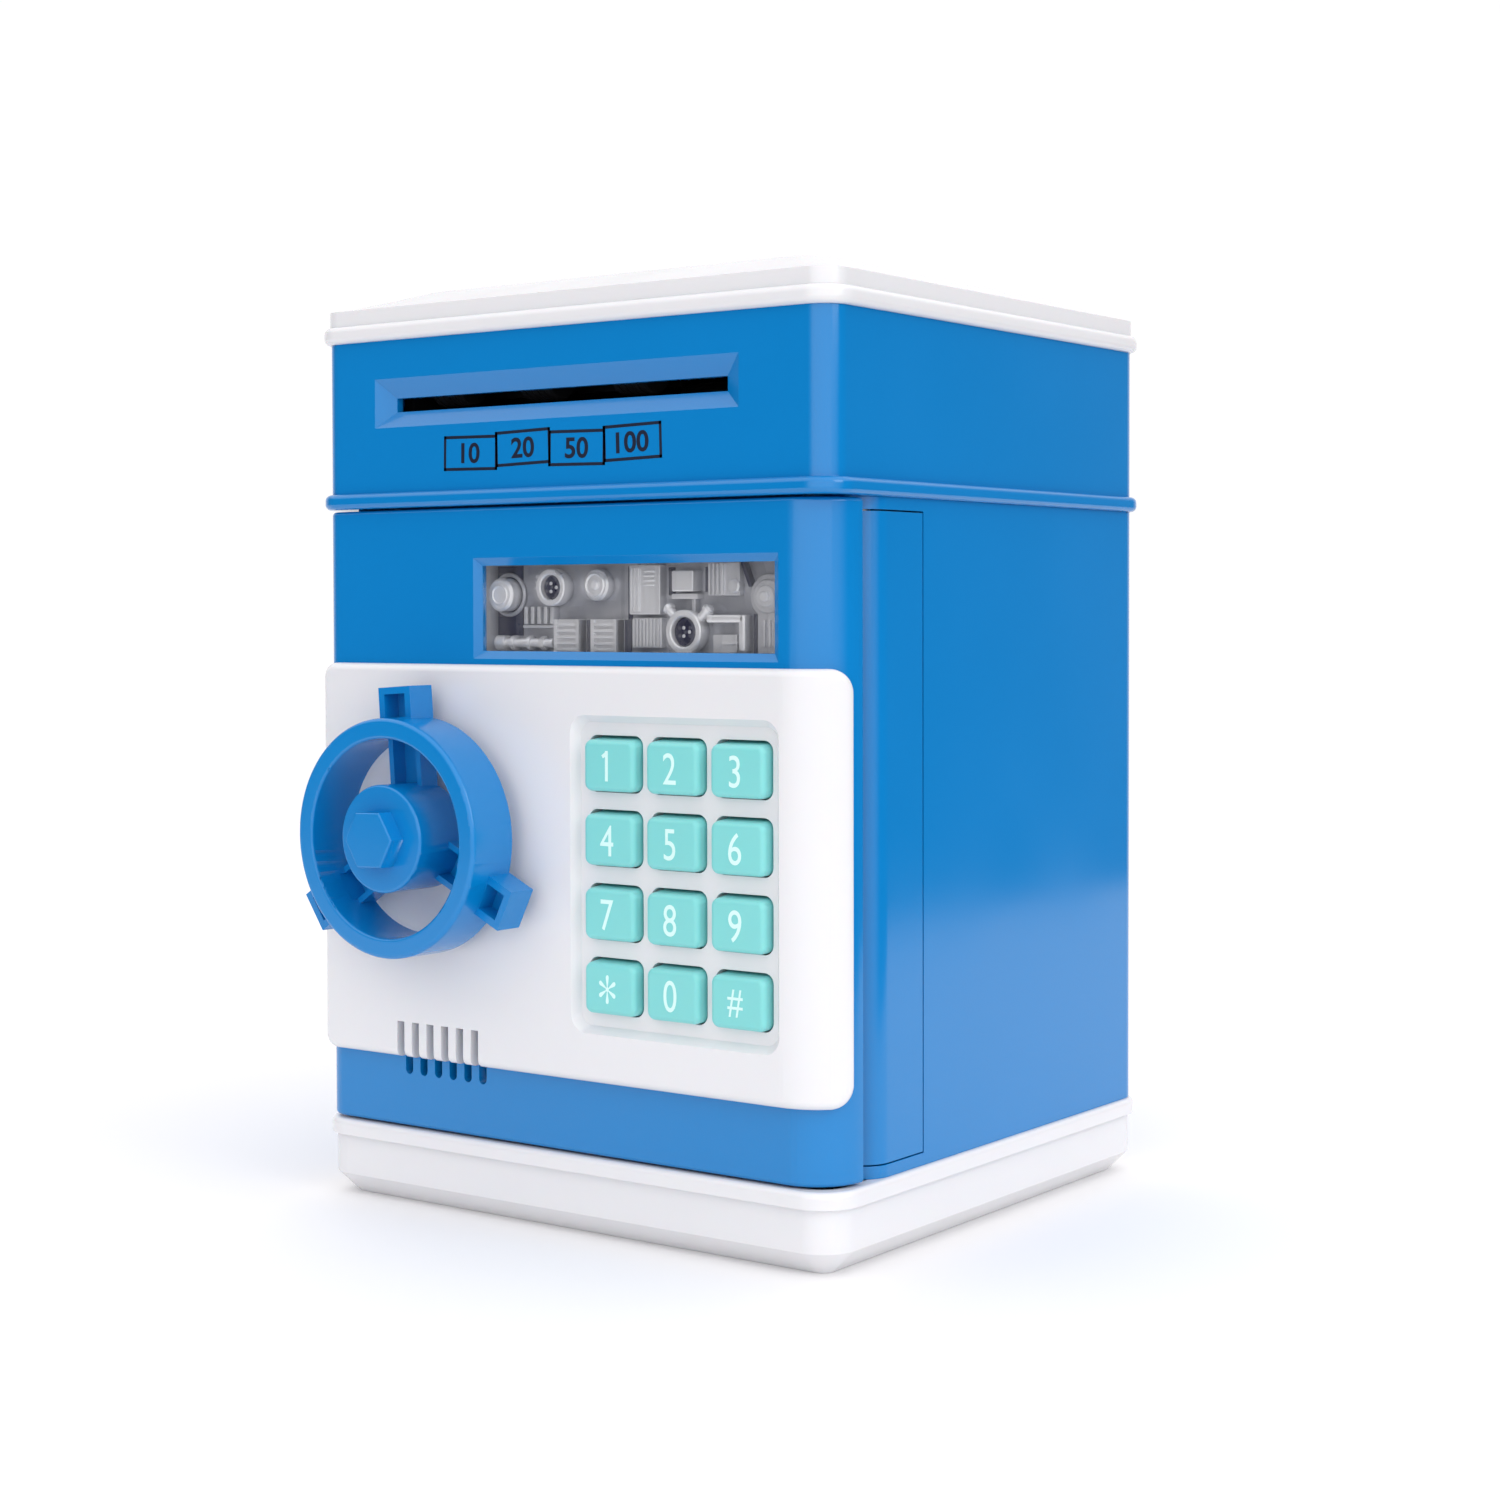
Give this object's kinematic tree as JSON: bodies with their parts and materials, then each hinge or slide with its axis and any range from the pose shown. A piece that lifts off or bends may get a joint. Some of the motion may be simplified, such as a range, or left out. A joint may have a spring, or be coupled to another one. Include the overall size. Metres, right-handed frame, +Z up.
{
  "type": "toy safe money box",
  "caption": "Toy electronic safe: a box with a hinged door, a turning dial, a keypad, a viewing window and a motor-driven note slot.",
  "frame": {"origin": "centre of the underside of the base", "axes": "+Z up, the front and the door face -Y, +X to the right of someone facing the front"},
  "size_m": [0.132, 0.1426, 0.1892],
  "materials": {
    "blue_abs": "semi-gloss",
    "white_abs": "semi-gloss",
    "mint_abs": "satin",
    "clear_styrene": "clear",
    "metallised_styrene": "bright",
    "steel": "zinc plated",
    "cell_jacket": "printed",
    "rubber": "matt",
    "laminate": "lacquered",
    "black_plastic": "matt",
    "led_plastic": "clear",
    "acetal": "natural"
  },
  "bodies": {
    "cabinet": {"base_tray": "white_abs", "battery_door": "white_abs", "battery_door_screw": "steel", "battery_cells": "cell_jacket", "battery_contacts": "steel", "base_screws": "steel", "cabinet_shell": "blue_abs", "hinge_pins": "steel", "upper_housing": "blue_abs", "housing_screws": "steel", "top_cover": "white_abs", "lid_screws": "steel", "coin_chute": "white_abs", "feeder_deck": "black_plastic", "note_guide": "black_plastic", "feed_motor": "steel", "note_sensor": "laminate", "feeder_screws": "steel"},
    "door": {"door_shell": "blue_abs", "front_panel": "white_abs", "panel_screws": "steel", "keypad_membrane": "rubber", "circuit_board": "laminate", "circuit_components": "black_plastic", "indicator_leds": "led_plastic", "window_lens": "clear_styrene", "machinery_insert": "metallised_styrene", "speaker": "black_plastic", "door_back_cover": "white_abs", "door_screws": "steel", "lock_chassis": "black_plastic", "lock_solenoid": "steel"},
    "dial": {"dial_wheel": "blue_abs", "dial_shaft": "steel", "drive_pinion": "acetal", "shaft_collar": "steel"},
    "bolt": {"latch_bolt": "acetal"},
    "plunger": {"solenoid_plunger": "steel"},
    "feed_roller": {"feed_shaft": "steel", "feed_rollers": "rubber", "feed_gear": "acetal"},
    "pinch_roller": {"pinch_shaft": "steel", "pinch_rollers": "rubber"},
    "motor_rotor": {"motor_pinion": "acetal"},
    "button_1": {"key_1": "mint_abs"},
    "button_2": {"key_2": "mint_abs"},
    "button_3": {"key_3": "mint_abs"},
    "button_4": {"key_4": "mint_abs"},
    "button_5": {"key_5": "mint_abs"},
    "button_6": {"key_6": "mint_abs"},
    "button_7": {"key_7": "mint_abs"},
    "button_8": {"key_8": "mint_abs"},
    "button_9": {"key_9": "mint_abs"},
    "button_star": {"key_star": "mint_abs"},
    "button_0": {"key_0": "mint_abs"},
    "button_hash": {"key_hash": "mint_abs"}
  },
  "joints": [
    {"name": "door_swing", "type": "hinge", "parent": "cabinet", "child": "door", "pos_m": [0.0588, -0.0407, 0.08], "axis": [0, 0, 1], "range_deg": [0, 105]},
    {"name": "dial_turn", "type": "hinge", "parent": "door", "child": "dial", "pos_m": [-0.0303, -0.06, 0.0774], "axis": [0, 1, 0], "range_deg": [0, 90]},
    {"name": "bolt_slide", "type": "slide", "parent": "door", "child": "bolt", "axis": [-1, 0, 0], "range_m": [0, 0.0095]},
    {"name": "plunger_slide", "type": "slide", "parent": "door", "child": "plunger", "axis": [0, 0, 1], "range_m": [0, 0.004]},
    {"name": "key_1_press", "type": "slide", "parent": "door", "child": "button_1", "axis": [0, 1, 0], "range_m": [0, 0.0012], "stiffness_N_per_m": 500},
    {"name": "key_2_press", "type": "slide", "parent": "door", "child": "button_2", "axis": [0, 1, 0], "range_m": [0, 0.0012], "stiffness_N_per_m": 500},
    {"name": "key_3_press", "type": "slide", "parent": "door", "child": "button_3", "axis": [0, 1, 0], "range_m": [0, 0.0012], "stiffness_N_per_m": 500},
    {"name": "key_4_press", "type": "slide", "parent": "door", "child": "button_4", "axis": [0, 1, 0], "range_m": [0, 0.0012], "stiffness_N_per_m": 500},
    {"name": "key_5_press", "type": "slide", "parent": "door", "child": "button_5", "axis": [0, 1, 0], "range_m": [0, 0.0012], "stiffness_N_per_m": 500},
    {"name": "key_6_press", "type": "slide", "parent": "door", "child": "button_6", "axis": [0, 1, 0], "range_m": [0, 0.0012], "stiffness_N_per_m": 500},
    {"name": "key_7_press", "type": "slide", "parent": "door", "child": "button_7", "axis": [0, 1, 0], "range_m": [0, 0.0012], "stiffness_N_per_m": 500},
    {"name": "key_8_press", "type": "slide", "parent": "door", "child": "button_8", "axis": [0, 1, 0], "range_m": [0, 0.0012], "stiffness_N_per_m": 500},
    {"name": "key_9_press", "type": "slide", "parent": "door", "child": "button_9", "axis": [0, 1, 0], "range_m": [0, 0.0012], "stiffness_N_per_m": 500},
    {"name": "key_star_press", "type": "slide", "parent": "door", "child": "button_star", "axis": [0, 1, 0], "range_m": [0, 0.0012], "stiffness_N_per_m": 500},
    {"name": "key_0_press", "type": "slide", "parent": "door", "child": "button_0", "axis": [0, 1, 0], "range_m": [0, 0.0012], "stiffness_N_per_m": 500},
    {"name": "key_hash_press", "type": "slide", "parent": "door", "child": "button_hash", "axis": [0, 1, 0], "range_m": [0, 0.0012], "stiffness_N_per_m": 500},
    {"name": "feed_spin", "type": "hinge", "parent": "cabinet", "child": "feed_roller", "pos_m": [0, -0.046, 0.15945], "axis": [1, 0, 0], "continuous": true},
    {"name": "pinch_spin", "type": "hinge", "parent": "cabinet", "child": "pinch_roller", "pos_m": [0, -0.046, 0.16975], "axis": [1, 0, 0], "continuous": true},
    {"name": "motor_spin", "type": "hinge", "parent": "cabinet", "child": "motor_rotor", "pos_m": [0, -0.0324, 0.15945], "axis": [1, 0, 0], "continuous": true}
  ],
  "couplings": [
    {"joint": "bolt_slide", "follows": "dial_turn", "m_per_rad": 0.006},
    {"joint": "pinch_spin", "follows": "feed_spin", "ratio": -1},
    {"joint": "motor_spin", "follows": "feed_spin", "ratio": -2.4}
  ]
}
